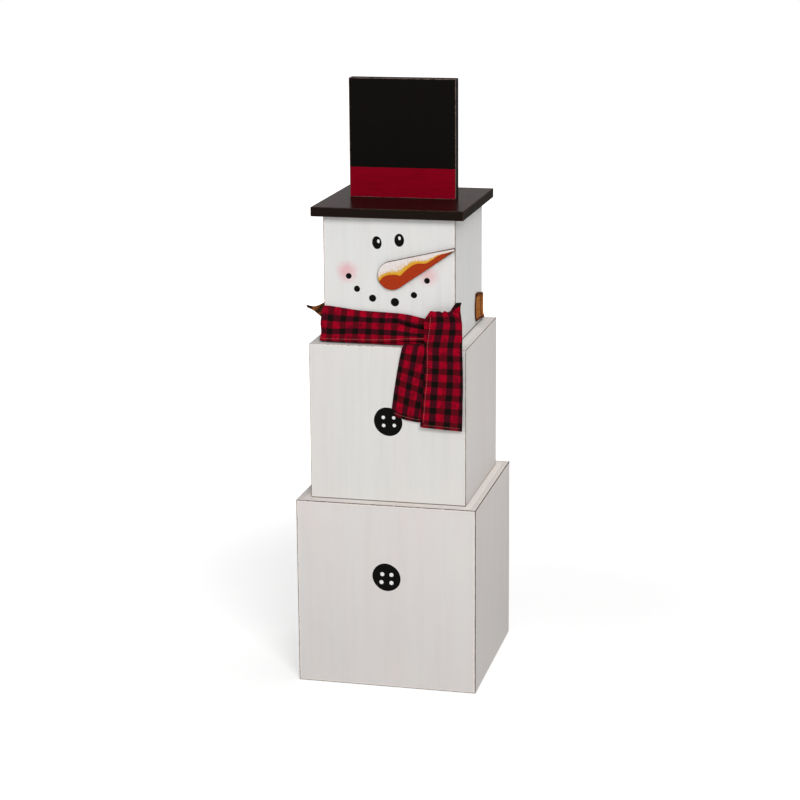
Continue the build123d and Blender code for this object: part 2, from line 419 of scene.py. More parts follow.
def hat_band(look, colour, low, height, red, dark_red):
    """The painted ribbon across the foot of the crown, on its front face only."""
    y, z = look.split(look.at)[1:]
    wobble = look.spread(look.noise(*RIBBON_WOBBLE), -0.8, 0.8)
    under_top = look.minus(low.z + height, look.add(z, wobble))
    on_band = look.step(under_top, -0.25, 0.25)
    on_front = look.fall(y, low.y + 0.2, low.y + 0.6)
    ribbon = look.wash(red, dark_red, look.noise(*RIBBON_STREAKS), 0.4, 0.75)
    return look.mix(look.times(on_band, on_front), colour, ribbon)


# The nose's outline: a round base, straight sides and a round tip. On its face, "along"
# is measured from the base's middle to the tip, and "up" square to that.
NOSE_TILT = radians(24.0)
NOSE_BASE = Vector((4.9, head_low.y, head_low.z + 105.2))
NOSE_AXIS = Vector((cos(NOSE_TILT), 0, sin(NOSE_TILT)))
NOSE_ACROSS = Vector((-sin(NOSE_TILT), 0, cos(NOSE_TILT)))
NOSE_BASE_RADIUS = 21.6
NOSE_TIP_RADIUS = 2.3
NOSE_REACH = 103.2
# The curves below run over NOSE_SPAN from NOSE_BACK behind the base, NOSE_SIDE high or low at most.
NOSE_BACK = 24.0
NOSE_SPAN = 134.0
NOSE_SIDE = 24.0
ORANGE_TOP = [
    (-24, -1.2), (-18, 0.6), (-11.7, 3), (-5, 2.8), (2.5, 0.7), (9, -2.4), (12.5, -4.7), (18, -2.9),
    (28, 0.4), (36, 2.1), (44, 1.8), (57, -2.6), (65, -1.9), (80, 0.9), (94, -0.3), (102, -1.3), (110, -2.2),
]
FRINGE_TOP = [
    (-24, 3.4), (-11, 6.6), (-4, 6.3), (5, 4.6), (12, 2.2), (18, 3.4), (31, 6.2), (40, 7), (47, 5.2),
    (56, 0.8), (72, 1), (88, 0.6), (110, -2.5),
]
NOSE_STROKES = ((0.5, 0.5, 0.16), 4.0, 0.6)
DRY_BRUSH = ((0.8, 0.8, 0.2), 4.0, 0.75)
ORANGE = ((176, 56, 18), (158, 50, 24))
OCHRE = ((228, 172, 46), (208, 152, 40))
SNOW = ((235, 227, 223), (228, 218, 214))
WET_ORANGE = (216, 128, 36)
DEEP_ORANGE = (134, 42, 20)
BROWN_TIP = (88, 42, 26)
# Dark line inside the nose's outline: its cut edge, and along the lower side also painted shadow.
EDGE_LINE_AND_SHADOW = (84, 62, 52)


def nose_paint(name):
    """Carrot orange under snow white, with a dry-brushed ochre fringe where they meet."""
    look = new_look(name)
    offset = look.vector("SUBTRACT", look.at, NOSE_BASE)
    along = look.vector("DOT_PRODUCT", offset, NOSE_AXIS)
    up = look.vector("DOT_PRODUCT", offset, NOSE_ACROSS)
    share = look.math("DIVIDE", look.add(along, NOSE_BACK), NOSE_SPAN)
    border = curve_of(look, share, ORANGE_TOP)
    reach = look.add(look.minus(curve_of(look, share, FRINGE_TOP), border), 1.0)
    above = look.minus(up, border)
    strokes = look.noise(*NOSE_STROKES)
    dry = look.noise(*DRY_BRUSH)
    orange = carrot_orange(look, along, above, strokes)
    snow = fringed_snow(look, along, above, reach, strokes, dry)
    colour = look.wash(orange, snow, above, -0.35, 0.35)
    near_tip = look.step(along, 72.0, 96.0)
    inside = look.minus(nose_edge(look, along, up), look.times(near_tip, 0.3))
    on_top = look.most(look.step(up, -4.0, 2.0), near_tip)
    # The board's dark cut edge, strongest on top and at the tip; along the lower side it is also painted
    # shadow.
    edge_line_and_shadow = look.times(look.fall(inside, 0.45, 1.05), look.spread(on_top, 0.42, 0.92))
    colour = look.mix(edge_line_and_shadow, colour, EDGE_LINE_AND_SHADOW)
    height = look.add(strokes, look.times(dry, 0.5))
    rough = look.spread(strokes, 0.42, 0.6)
    return look.finish(colour, rough, height, 0.14, 0.5, Specular_IOR_Level=0.06)


def carrot_orange(look, along, above, strokes):
    """The orange, deeper just under its border and brown towards the tip."""
    orange = look.wash(*ORANGE, strokes, 0.3, 0.75)
    rim = look.times(look.step(above, -2.4, -0.6), 0.5)
    orange = look.mix(rim, orange, DEEP_ORANGE)
    tip = look.times(look.step(along, 84.0, 104.0), 0.8)
    return look.mix(tip, orange, BROWN_TIP)


def fringed_snow(look, along, above, reach, strokes, dry):
    """Snow over an ochre fringe that thins out towards the tip, wet orange at its foot."""
    ochre = look.wash(*OCHRE, dry, 0.35, 0.7)
    snow = look.wash(*SNOW, strokes, 0.4, 0.7)
    level = look.add(look.math("DIVIDE", above, reach), look.spread(strokes, -0.25, 0.35))
    level = look.add(level, look.times(look.step(dry, 0.46, 0.7), -1.5))
    thinning = look.step(along, 76.0, 94.0)
    level = look.add(level, thinning)
    colour = look.wash(ochre, snow, level, 0.5, 1.25)
    wet = look.times(look.fall(above, 0.2, 1.8), look.spread(thinning, 0.7, 0.0))
    return look.mix(wet, colour, WET_ORANGE)


def curve_of(look, share, points):
    """A smooth height over the nose's length, through given points."""
    curve = look.node("FloatCurve", {"Value": share}, None)
    line = curve.mapping.curves[0]
    placed = [((s + NOSE_BACK) / NOSE_SPAN, (t + NOSE_SIDE) / (2 * NOSE_SIDE)) for s, t in points]
    line.points[0].location = placed[0]
    line.points[1].location = placed[-1]
    for spot in placed[1:-1]:
        line.points.new(*spot)
    curve.mapping.update()
    return look.minus(look.times(curve.outputs[0], 2 * NOSE_SIDE), NOSE_SIDE)


def nose_edge(look, along, up):
    """How far a point of the nose's face lies inside its outline."""
    slope = (NOSE_BASE_RADIUS - NOSE_TIP_RADIUS) / NOSE_REACH
    lean = sqrt(1 - slope * slope)
    side = look.math("ABSOLUTE", up)
    straight = look.minus(NOSE_BASE_RADIUS, look.times(along, slope))
    straight = look.minus(straight, look.times(side, lean))
    straight = look.least(straight, look.minus(NOSE_REACH + NOSE_TIP_RADIUS, along))
    spot = look.node("CombineXYZ", {"X": along, "Y": up})
    round_base = look.minus(NOSE_BASE_RADIUS, look.vector("LENGTH", spot))
    past_base = look.step(along, NOSE_BASE_RADIUS * slope - 0.5, NOSE_BASE_RADIUS * slope + 0.5)
    kept = look.times(straight, past_base)
    return look.add(kept, look.times(round_base, look.minus(1.0, past_base)))


MARK_STREAKS = ((0.9, 0.9, 0.3), 4.0, 0.6)


def flat_paint(name, main, streak, specular):
    """Hobby paint for a small mark, with faint brush streaks."""
    look = new_look(name)
    streaks = look.noise(*MARK_STREAKS)
    colour = look.wash(main, streak, streaks, 0.4, 0.8)
    rough = look.spread(streaks, 0.4, 0.6)
    return look.finish(colour, rough, streaks, 0.1, 0.5, Specular_IOR_Level=specular)


RING_WARP = ((0.05, 0.05, 0.008), 3.0, 0.5)
FIBRE = ((2.2, 2.2, 0.05), 3.0, 0.6)


def raw_wood(name):
    """Planed pine: rings drawn out along the stick."""
    look = new_look(name)
    rings = look.math("SINE", look.times(look.noise(*RING_WARP), 60.0))
    fibre = look.noise(*FIBRE)
    colour = look.wash((214, 182, 138), (184, 144, 98), rings, -0.5, 1.0)
    colour = look.mix(look.spread(fibre, 0.0, 0.4), colour, (168, 128, 86))
    return look.finish(colour, look.spread(fibre, 0.6, 0.8), fibre, 0.15, 0.6)


TURNING_MARKS = ((0.4, 0.4, 5.0), 3.0, 0.6)


def screw_steel(name):
    """Zinc-plated steel with fine turning marks."""
    look = new_look(name)
    marks = look.noise(*TURNING_MARKS)
    colour = look.mix(look.noise(0.5, 3.0), (176, 178, 180), (140, 142, 146))
    return look.finish(colour, look.spread(marks, 0.28, 0.46), marks, 0.03, 0.5, Metallic=1.0)


def coat(material, *nodes):
    for node in nodes:
        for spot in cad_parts[node].material_slots:
            spot.link = "OBJECT"
            spot.material = material


# ---------- painted marks


def make_mesh(name, points, faces, material, uvs=None):
    """A smooth mesh object from points in millimetres."""
    mesh = bpy.data.meshes.new(name)
    mesh.from_pydata([Vector(p) * MM for p in points], [], faces)
    if uvs:
        layer = mesh.uv_layers.new(name="cloth")
        for loop in mesh.loops:
            layer.data[loop.index].uv = uvs[loop.vertex_index]
    for face in mesh.polygons:
        face.use_smooth = True
    mesh.materials.append(material)
    return add_object(name, mesh)


DAUB_SIDES = 72
# The dome's rings: the share of the daub's reach, and the share of its thickness.
DAUB_RINGS = [(0.55, 1.0), (0.85, 0.94), (0.96, 0.6), (1.0, -0.2)]
DAUB_WAVER = 0.02


def daub(face_y, thick, x, z, wide, high, turn=0.0, skew=0.0, seed=None):
    """Points and faces of a thin domed spot of paint on a face that looks along -Y."""
    seed = x if seed is None else seed
    points = []
    for share, lift in DAUB_RINGS:
        for i in range(DAUB_SIDES):
            angle = 2 * pi * i / DAUB_SIDES
            spot = Vector((cos(angle), sin(angle), seed * 7.3))
            wave = 1 + DAUB_WAVER * perlin.noise(spot * 1.3) + skew * cos(2 * (angle + pi / 4))
            across, up = share * wide * wave * cos(angle), share * high * wave * sin(angle)
            points.append((x + across * cos(turn) - up * sin(turn), face_y - thick * lift,
                           z + across * sin(turn) + up * cos(turn)))
    centre = len(points)
    points.append((x, face_y - thick, z))
    faces = [(centre, i, (i + 1) % DAUB_SIDES) for i in range(DAUB_SIDES)]
    for ring in range(len(DAUB_RINGS) - 1):
        for i in range(DAUB_SIDES):
            a, b = ring * DAUB_SIDES + i, ring * DAUB_SIDES + (i + 1) % DAUB_SIDES
            faces.append((a, a + DAUB_SIDES, b + DAUB_SIDES, b))
    return points, faces


def joined(parts):
    """The points and faces of several meshes as those of one."""
    points, faces = [], []
    for more_points, more_faces in parts:
        start = len(points)
        points += more_points
        faces += [tuple(start + i for i in face) for face in more_faces]
    return points, faces


def spots(name, material, marks):
    """One piece made of several daubs of the same paint."""
    points, faces = joined(daub(*mark) for mark in marks)
    piece = make_mesh(name, points, faces, material)
    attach(piece, "root")


BLACK_COAT = 0.25
WHITE_COAT = 0.4
# x, z, half the width and height, and the turn in radians, of each eye and of its glint.
EYES = {
    "left": ((-18.3, 686.9, 7.3, 9.8, 0.1), (-15.9, 689.1, 2.1, 3.0, 0.2)),
    "right": ((15.8, 691.6, 7.5, 9.9, 0.0), (16.3, 694.6, 2.1, 3.0, 0.2)),
}
# x, z and radius of each dot.
SMILE = [
    (-62.2, 635, 4.5), (-49.7, 615.9, 4.8), (-25.7, 602.5, 5.5), (8.5, 597.8, 6.5), (37.7, 609.6, 4.9),
    (57.7, 632.1, 4.5),
]


def paint_face():
    """Eyes with a glint, and the smile's dots."""
    y = head_low.y
    for side, (eye, glint) in EYES.items():
        spots(f"{side}_eye", black_mark, [(y, BLACK_COAT, *eye)])
        spots(f"{side}_eye_glint", white_mark, [(y, WHITE_COAT, *glint)])
    spots("smile_dots", black_mark, [(y, BLACK_COAT, x, z, radius, radius) for x, z, radius in SMILE])


# x, z and radius of the button, radius of its holes, and x and z of each hole.
BUTTONS = {
    "middle": (1.2, 417.9, 22.2, 2.9, [(-6.0, 424.4), (10.1, 424.7), (-5.6, 411.8), (10.9, 412.6)]),
    "bottom": (1.2, 177.5, 22.2, 3.4, [(-5.2, 182.3), (9.1, 182.1), (-6.6, 169.4), (9.0, 169.1)]),
}
BUTTON_SKEW = 0.028


def paint_buttons():
    """A painted black button with four white holes on each of the two lower boxes."""
    for tier, (x, z, radius, hole, holes) in BUTTONS.items():
        y = TIERS[tier][0].y
        spots(f"{tier}_button", black_mark, [(y, BLACK_COAT, x, z, radius, radius, 0.0, BUTTON_SKEW, z)])
        spots(f"{tier}_button_holes", white_mark, [(y, WHITE_COAT, *place, hole, hole) for place in holes])


# ---------- cloth

# Yarns in one repeat of the check, how soft a stripe's edge is and how far it wanders, in repeats.
YARNS = 24
STRIPE_BLUR = 0.045
STRIPE_WANDER = 0.02
MOTTLE = (0.12, 3.0, 0.6)
FLECKS = (0.3, 2.0, 0.6)
LINT = (2.4, 3.0, 0.7)


def check_cloth(name, bright, middle, crossing, dark, dark_share, sheen, fleck=0.0):
    """Woven check cloth; the UV counts repeats, with dark stripes on whole numbers."""
    look = new_look(name)
    sides = look.split(look.node("TexCoord", output="UV"))[:2]
    fuzz = look.spread(look.noise(0.35), -STRIPE_WANDER, STRIPE_WANDER)
    stripes = [dark_stripes(look, look.add(part, fuzz), dark_share / 2) for part in sides]
    yarns = [look.times(part, YARNS * 2 * pi) for part in sides]
    twill = look.math("SINE", look.add(*yarns))
    weave = look.times(*[look.math("SINE", yarn) for yarn in yarns])
    ribs = look.step(twill, -0.6, 0.9)
    shot = look.mix(stripes[1], look.mix(ribs, *middle), look.mix(ribs, *crossing))
    # The bright squares mottled between two tones: partly random tone, partly painted shade of small folds.
    lit = look.wash(*bright, look.noise(*MOTTLE), 0.35, 0.75)
    lit = look.wash(lit, middle[1], weave, -1.0, 1.0, 0.25)
    colour = look.mix(look.most(*stripes), lit, shot)
    colour = look.mix(look.times(*stripes), colour, dark)
    if fleck:
        flecks = look.step(look.noise(*FLECKS), 0.47, 0.58)
        colour = look.mix(look.times(flecks, fleck), colour, dark)
    lint = look.noise(*LINT)
    height = look.add(look.times(weave, 0.5), look.times(lint, 0.7))
    return look.finish(colour, look.spread(lint, 0.82, 0.98), height, 0.12, 0.6,
                       Specular_IOR_Level=0.03, Sheen_Weight=sheen, Sheen_Roughness=0.5)


def dark_stripes(look, part, half):
    """1 on the dark stripes, half of which lie to each side of the whole numbers."""
    apart = look.minus(look.math("FRACT", look.add(part, 0.5)), 0.5)
    return look.fall(look.math("ABSOLUTE", apart), half - STRIPE_BLUR, half + STRIPE_BLUR)


def thread(name, main, shade):
    """Sewing thread, twisted and slightly furry."""
    look = new_look(name)
    x, z = look.split(look.at)[::2]
    twist = look.math("SINE", look.times(look.add(x, z), 9.0))
    colour = look.wash(shade, main, twist, -0.8, 0.8)
    fur = look.spread(look.noise(2.0), 0.7, 0.9)
    return look.finish(colour, fur, twist, 0.06, 0.6, Specular_IOR_Level=0.2)


def glide(knots, values, at):
    """A smooth curve through values at uneven knots."""
    last = len(knots) - 1
    i = 0
    while i < last - 1 and at > knots[i + 1]:
        i += 1
    span = knots[i + 1] - knots[i]
    t = (at - knots[i]) / span

    def slope(j):
        low, high = max(j - 1, 0), min(j + 1, last)
        return (values[high] - values[low]) / (knots[high] - knots[low])

    a, b = slope(i) * span, slope(i + 1) * span
    rise = values[i + 1] - values[i]
    return values[i] + a * t + (3 * rise - 2 * a - b) * t * t + (a + b - 2 * rise) * t ** 3


def smooth(low, high, value):
    """0 below low and 1 above high, and smooth between them."""
    t = min(max((value - low) / (high - low), 0), 1)
    return t * t * (3 - 2 * t)


def hump(share):
    """0 at 0 and at 1 and beyond them, and 1 halfway."""
    return sin(pi * min(max(share, 0), 1))


# In millimetres, unless they say otherwise.
CLOTH_THICK = 0.7
CLOTH_COLUMNS = 40
ROW_STEP = 2.0
FLAT_FADE = (-4, 18)
FLAT_GAP_SHARE = 0.6
ROLL_WIDTH = 13
BACK_CREASE_ROOM = 1.5
FLARE_WIDTH = 12
FLARE_FADE = (14, 16)
HEM_DEPTH = 6.0
HEM_EDGE = 0.8
HEM_RISE = 0.5
PEEK_WIDTH = 12
PEEK_MOST = 1.2
FRONT_PARTS = 0.7
BOW_FADE = (25, 40)
CREST_FADE = 22
CREST_WAVE = 8.5


class Strip:
    """A length of scarf, folded in two along its length: a hem on one side, the fold on the other.

    Each station gives v (how far along the cloth), x, out and up of the front layer's hem, then of
    its fold, the width of the front layer, and how far the back layer's hem shows beyond it.
    In the methods, u is how far a place of the cloth is from the front layer's hem.
    """

    facing = 1  # -1 where the stations run the other way round
    gap = 1.4  # between the two layers
    belly = 0.0  # how far the middle of the width swells out
    roll = 0.0  # how far the folded side turns back
    pleat = None  # u from and to, and most depth, of the pleat that takes spare width
    flat_until = None  # v up to which the strip is pressed flat
    flare = None  # how far the hem stands off, and v from and to
    marks = ()  # the u between which the cloth is gathered
    creases = ()  # u of the middle, width of its two sides, v from and to, depth
    bow = (0.0, 0.0)  # how far the middle runs ahead at the first and the last end
    back_stretch = 1.0  # how much more of the check the back layer shows
    crest = None  # v and unevenness of the top, where the strip folds over
    waves = ()  # height, length across and along, place in the noise
    flat_waves = 0.12  # the share of the waves that is left where the strip is flat
    seed = 0

    def __init__(self, stations, gather=(), **shape):
        self.knots, *places, widths, peeks = zip(*stations)
        hems, folds = [[self.spot(*s) for s in zip(*places[i:i + 3])] for i in (0, 3)]
        self.courses = (hems, folds, widths, peeks)
        self.gather_knots = [g[0] for g in gather]
        self.gather_shares = [Vector(g[1]) for g in gather]
        vars(self).update(shape)

    @staticmethod
    def spot(x, out, up):
        """A point so far out from the figure's middle, and up from the ledge."""
        return Vector((x, -out, ledge_z + up))

    @cache
    def row(self, v):
        """Hem, direction and length across, outward normal, width, peek and bow at v."""
        hem, edge, width, peek = self.between(v)
        low, high = max(v - 1, self.knots[0]), min(v + 1, self.knots[-1])
        before, after = self.between(low), self.between(high)
        across = edge - hem
        ahead = (after[0] + after[1] - (before[0] + before[1])).normalized()
        normal = ahead.cross(across).normalized() * self.facing
        return hem, across.normalized(), across.length, normal, width, peek, ahead * self.end_bow(v)

    def between(self, v):
        """Hem, fold, width and peek at v, between the stations."""
        return [glide(self.knots, values, v) for values in self.courses]

    def end_bow(self, v):
        """How far the middle of the width runs ahead near the cut ends."""
        first, last = self.knots[0], self.knots[-1]
        leading = self.bow[1] * smooth(last - BOW_FADE[1], last, v)
        return leading - self.bow[0] * (1 - smooth(first, first + BOW_FADE[0], v))

    def fullness(self, v):
        """0 where the strip is pressed flat, and 1 where it is full."""
        if self.flat_until is None:
            return 1.0
        return smooth(self.flat_until + FLAT_FADE[0], self.flat_until + FLAT_FADE[1], v)

    def half_gap(self, v):
        """Half the space between the layers, which is less where the strip is flat."""
        return self.gap / 2 * (FLAT_GAP_SHARE + (1 - FLAT_GAP_SHARE) * self.fullness(v))

    def pleated(self, u, length, width):
        """Where u lies once a pleat has taken the spare width, how deep, and the width left."""
        if not self.pleat:
            return u, 0.0, width
        low, high, deepest = self.pleat
        spare = max(0.0, width - length)
        half = (high - low) / 2
        depth = min(deepest, 0.85 * sqrt(max(0.0, half ** 2 - (half - spare / 2) ** 2)))
        sunk = depth * hump((u - low) / (high - low)) ** 2
        return u - spare * smooth(low, high, u), sunk, width - spare * smooth(low, high, width)

    def gathered(self, u, v, length, width):
        """Where u lies along the width, gathered unevenly between the marks."""
        if not self.marks:
            return u * length / width
        at = min(max(v, self.gather_knots[0]), self.gather_knots[-1])
        stops = [0.0, *self.marks, width]
        places = [0.0, *glide(self.gather_knots, self.gather_shares, at), 1.0]
        i = 0
        while i < len(stops) - 2 and u > stops[i + 1]:
            i += 1
        part = (u - stops[i]) / (stops[i + 1] - stops[i])
        return length * (places[i] + part * (places[i + 1] - places[i]))

    def creased(self, u, v, side):
        """How deep the creases are; those of the back layer are wider."""
        room = 0.0 if side > 0 else BACK_CREASE_ROOM
        depth = 0.0
        for middle, rise, drop, low, high, deepest in self.creases:
            groove = smooth(middle - rise - room, middle, u)
            groove *= 1 - smooth(middle, middle + drop + room, u)
            depth += deepest * groove * smooth(low, high, v)
        return depth

    def flared(self, u, v):
        """How far the hem stands off."""
        if not self.flare:
            return 0.0
        amount, low, high = self.flare
        rise = smooth(low - FLARE_FADE[0], low, v)
        return amount * (1 - smooth(0, FLARE_WIDTH, u)) * rise * (1 - smooth(high, high + FLARE_FADE[1], v))

    def waved(self, u, v, full):
        """The height of the soft waves."""
        share = self.flat_waves + (1 - self.flat_waves) * full
        height = 0.0
        for amount, step_u, step_v, place in self.waves:
            height += amount * share * perlin.noise(Vector((u / step_u, v / step_v, self.seed + place)))
        return height

    def hemmed(self, u, v):
        """How far the doubled cloth of the side's and the last end's hem stands out."""
        end = self.knots[-1] - HEM_DEPTH
        along_side = 1 - smooth(HEM_DEPTH - HEM_EDGE, HEM_DEPTH + HEM_EDGE, u)
        return HEM_RISE * along_side + HEM_RISE * smooth(end - HEM_EDGE, end + HEM_EDGE, v)

    def profile(self, u, v, side=1):
        """Where the cloth at u lies: along the width, and out from it."""
        hem, across, length, normal, width, peek, bow = self.row(v)
        full = self.fullness(v)
        along, sunk, width_left = self.pleated(u, length, width)
        along = self.gathered(along, v, length, width_left)
        turned = smooth(width - ROLL_WIDTH, width, u)
        out = -full * sunk - self.roll * full * turned * turned
        out -= self.creased(u, v, side)
        out += self.belly * full * hump(u / width)
        out += self.flared(u, v) + self.waved(u, v, full) + self.hemmed(u, v)
        return along, out

    def point(self, u, v, side=1, lift=0.0):
        """A point of the front layer (side 1) or the back layer (side -1), lifted off it."""
        hem, across, length, normal, width, peek, bow = self.row(v)
        along, out = self.profile(u, v, side)
        parted = min(max(peek, 0.0) / 3 * (1 - smooth(0, PEEK_WIDTH, u)), PEEK_MOST)
        out += parted * (FRONT_PARTS if side > 0 else -1.0)
        ahead = bow * hump(u / width)
        if self.crest:
            top, amount = self.crest
            uneven = perlin.noise(Vector((u / CREST_WAVE, 0, self.seed + 0.7)))
            ahead = ahead + Vector((0, 0, amount * uneven * (1 - smooth(0, CREST_FADE, abs(v - top)))))
        return hem + across * along + ahead + normal * (out + side * self.half_gap(v) + lift)

    def columns(self, v):
        """(point, u) round one row: front hem, fold, back hem."""
        hem, across, length, normal, width, peek, bow = self.row(v)
        front = [width * i / CLOTH_COLUMNS for i in range(CLOTH_COLUMNS + 1)]
        ring = [(self.point(u, v), u) for u in front]
        along, out = self.profile(width, v)
        turn = self.half_gap(v)
        for i in range(1, 4):
            angle = pi / 2 - pi * i / 4
            middle = hem + across * (along + turn * cos(angle))
            ring.append((middle + normal * (out + turn * sin(angle)), width + i * self.gap / 3))
        behind = width + self.gap * 1.5
        back = [width - (width + peek) * i / CLOTH_COLUMNS for i in range(CLOTH_COLUMNS + 1)]
        return ring + [(self.point(u, v, -1), behind + (width - u) * self.back_stretch) for u in back]


def cloth_mesh(name, strip, material, phase, turn):
    """The strip as a mesh; phase gives place and distance of the dark stripes, u first."""
    u_dark, u_repeat, v_dark, v_repeat = phase
    start, end = strip.knots[0], strip.knots[-1]
    rows = int((end - start) / ROW_STEP)
    points, uvs, faces = [], [], []
    for i in range(rows + 1):
        v = start + (end - start) * i / rows
        ring = strip.columns(v)
        for place, u in ring:
            points.append(turn @ place)
            uvs.append(((u - u_dark) / u_repeat, (v - v_dark) / v_repeat))
    wide = len(ring)
    for i in range(rows):
        for j in range(wide - 1):
            a = i * wide + j
            faces.append((a, a + 1, a + wide + 1, a + wide))
    piece = make_mesh(name, points, faces, material, uvs)
    thicken = piece.modifiers.new("thickness", "SOLIDIFY")
    thicken.thickness = CLOTH_THICK * MM
    thicken.offset = 0
    return piece


STITCH_LONG = 3.2
STITCH_GAP = 0.8
STITCH_SIDES = 6
THREAD_RADIUS = 0.3
# From end to end of a stitch: the share of its length, how far it is lifted, its share of the radius.
STITCH_SHAPE = [(0, -0.15, 0.55), (0.12, 0.06, 1), (0.5, 0.15, 1), (0.88, 0.06, 1), (1, -0.15, 0.55)]


def stitch(strip, spot, way):
    """Points and faces of one stitch, from its start (u, v) and the way it runs."""
    centres = []
    for share, lift, thickness in STITCH_SHAPE:
        u, v = [start + step * STITCH_LONG * share for start, step in zip(spot, way)]
        centres.append(strip.point(u, v, 1, CLOTH_THICK / 2 + lift))
    direction = (centres[-1] - centres[0]).normalized()
    normal = strip.row(spot[1])[3]
    sideways = direction.cross(normal).normalized()
    points, faces = [], []
    for centre, (share, lift, thickness) in zip(centres, STITCH_SHAPE):
        for i in range(STITCH_SIDES):
            angle = 2 * pi * i / STITCH_SIDES
            spoke = sideways * cos(angle) + normal * sin(angle)
            points.append(centre + spoke * (THREAD_RADIUS * thickness))
    last = (len(centres) - 1) * STITCH_SIDES
    for ring in range(0, last, STITCH_SIDES):
        for i in range(STITCH_SIDES):
            a, b = ring + i, ring + (i + 1) % STITCH_SIDES
            faces.append((a, b, b + STITCH_SIDES, a + STITCH_SIDES))
    faces.append(tuple(range(STITCH_SIDES)))
    faces.append(tuple(last + STITCH_SIDES - 1 - i for i in range(STITCH_SIDES)))
    return points, faces


def seam(start, end, fixed, lengthwise=True):
    """Start and way of each stitch of a straight row, along the cloth or across it."""
    row = []
    at = start
    while at + STITCH_LONG < end:
        row.append(((fixed, at), (0, 1)) if lengthwise else ((at, fixed), (1, 0)))
        at += STITCH_LONG + STITCH_GAP
    return row


def stitches(name, strip, seams, turn):
    """All stitches of one strip, as one piece."""
    points, faces = joined(stitch(strip, spot, way) for row in seams for spot, way in row)
    piece = make_mesh(name, [turn @ p for p in points], faces, thread_paint)
    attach(piece, "root")
    return piece


# How far the stitches are from the hem.
HEM_STITCH = 4.0
OVER_STITCH = 2.2
# The red check's repeat across and along the cloth; the brown check's is twice as large.
REPEAT_ACROSS = 21.0
REPEAT_ALONG = 19.8
BROWN_SCALE = 2.0
# The cloth's flat widths; the flat lengths are those of the strips.
# The stations of each strip, as Strip describes them; those of the back scarf are turned round with it.
BAND_TAIL = [
    (66, -52, 111.3, 3.5, -49, 105.8, 49.8, 53, 1.6), (104, -13, 111.6, 4.6, -11, 106.2, 48.4, 53, 2.8),
    (140, 23, 112, 7.6, 25, 106.8, 46.8, 52, 5.6), (172, 55, 111.6, 9.6, 57, 106.8, 40.8, 50, 4.4),
    (184, 66, 110.8, 10.7, 68, 106.2, 38.6, 49, 4.4),
]
FRONT_BAND = [
    (0, -104.3, 91.8, 1.8, -103.6, 91.8, 52.8, 53, 0.5),
    (9, -105.2, 100.8, 2, -103.6, 101.9, 53.8, 53, 0.5),
    (15, -102.6, 106.8, 2.2, -99.8, 105.4, 54.5, 53, 0.5), (28, -90, 110, 2.6, -87, 105.6, 54, 53, 0.5),
] + BAND_TAIL
BACK_BAND = [
    (-50, -102.1, 46.5, 7.5, -102, 48.5, 50.6, 46, -1.5), (-44, -102.1, 52, 7.2, -102, 53, 51, 45, -1.5),
    (-20, -102.1, 76, 6, -102, 76, 48.2, 42, -1.5), (0, -102, 95, 4, -101.9, 95, 43.8, 40, -1.5),
    (8, -102, 101.8, 3.4, -101.9, 101.8, 42.6, 41, -1.5), (16, -95, 104.2, 3, -95, 103.8, 45, 44, -1),
    (28, -84, 108.6, 2.6, -84, 104.6, 48.4, 50, 0),
] + BAND_TAIL
# The u of the gathers' marks, and the shares of the width at which they lie, at some v.
BAND_MARKS = (4, 17, 38)
TAIL_GATHER = [
    (66, (0.082, 0.36, 0.737)), (107, (0.086, 0.352, 0.747)), (128, (0.093, 0.304, 0.77)),
    (147, (0.101, 0.276, 0.65)), (167, (0.111, 0.264, 0.6)), (187, (0.125, 0.281, 0.6)),
]
FRONT_GATHER = [(0, (0.075, 0.32, 0.717)), (28, (0.076, 0.285, 0.686))] + TAIL_GATHER
BACK_GATHER = [(0, (0.093, 0.395, 0.84)), (28, (0.08, 0.34, 0.76))] + TAIL_GATHER
BAND_CREASES = [(37, 6, 3.2, 102, 152, 7.0), (9.5, 5, 4, 118, 176, 2.2), (25, 4, 4, 146, 180, 1.6)]
BAND_WAVES = [(1.0, 13, 45, 0.3), (0.5, 7, 22, 5.1), (0.25, 4, 9, 2.4)]
FRONT_LIE = dict(flat_until=0, flare=(1.6, 0, 10))
BACK_LIE = dict(flat_until=16, flare=(1.2, -2, 8), bow=(4.5, 0.0), flat_waves=0.25)
OVER_TAIL = [
    (0, 70, 109, 31, 106, 109, 31, 50, 1), (20, 69, 109.4, 46, 106, 109.4, 47, 50, 1),
    (31, 64.8, 112, 52.6, 105.5, 112, 54, 50, 1), (41, 64.5, 116, 48.5, 109, 116, 51, 50.5, 5),
    (50, 64.4, 117.4, 41.5, 112.6, 116.8, 43.5, 51, 7.5), (70, 63, 118.6, 23, 113.7, 118, 24, 52, 6),
    (90, 61.6, 123.9, 4.9, 114.6, 122.4, 5.2, 58, 3), (101, 62.4, 128.6, -5, 115.4, 126.6, -5, 58.5, 2.8),
    (112, 62.9, 129.4, -15, 116.2, 127.6, -16, 59, 2.9), (140, 61.6, 129.2, -43, 116.6, 127, -44, 59, 2.9),
    (180, 58.2, 129.4, -82.5, 116.2, 127.2, -84, 59.5, 2.9),
    (216, 55.2, 129.6, -118.6, 115.4, 127.4, -122.4, 60, 2.6),
]
OVER_MARKS = (2.2, 14.6, 37.2)
OVER_GATHER = [
    (0, (0.044, 0.292, 0.744)), (36, (0.047, 0.385, 0.735)), (54, (0.047, 0.375, 0.735)),
    (72, (0.045, 0.33, 0.715)), (96, (0.043, 0.276, 0.69)), (140, (0.04, 0.257, 0.675)),
    (216, (0.037, 0.258, 0.625)),
]
OVER_WAVES = [(1.4, 15, 75, 0.0), (0.8, 9, 30, 3.0), (0.4, 6, 12, 8.0)]
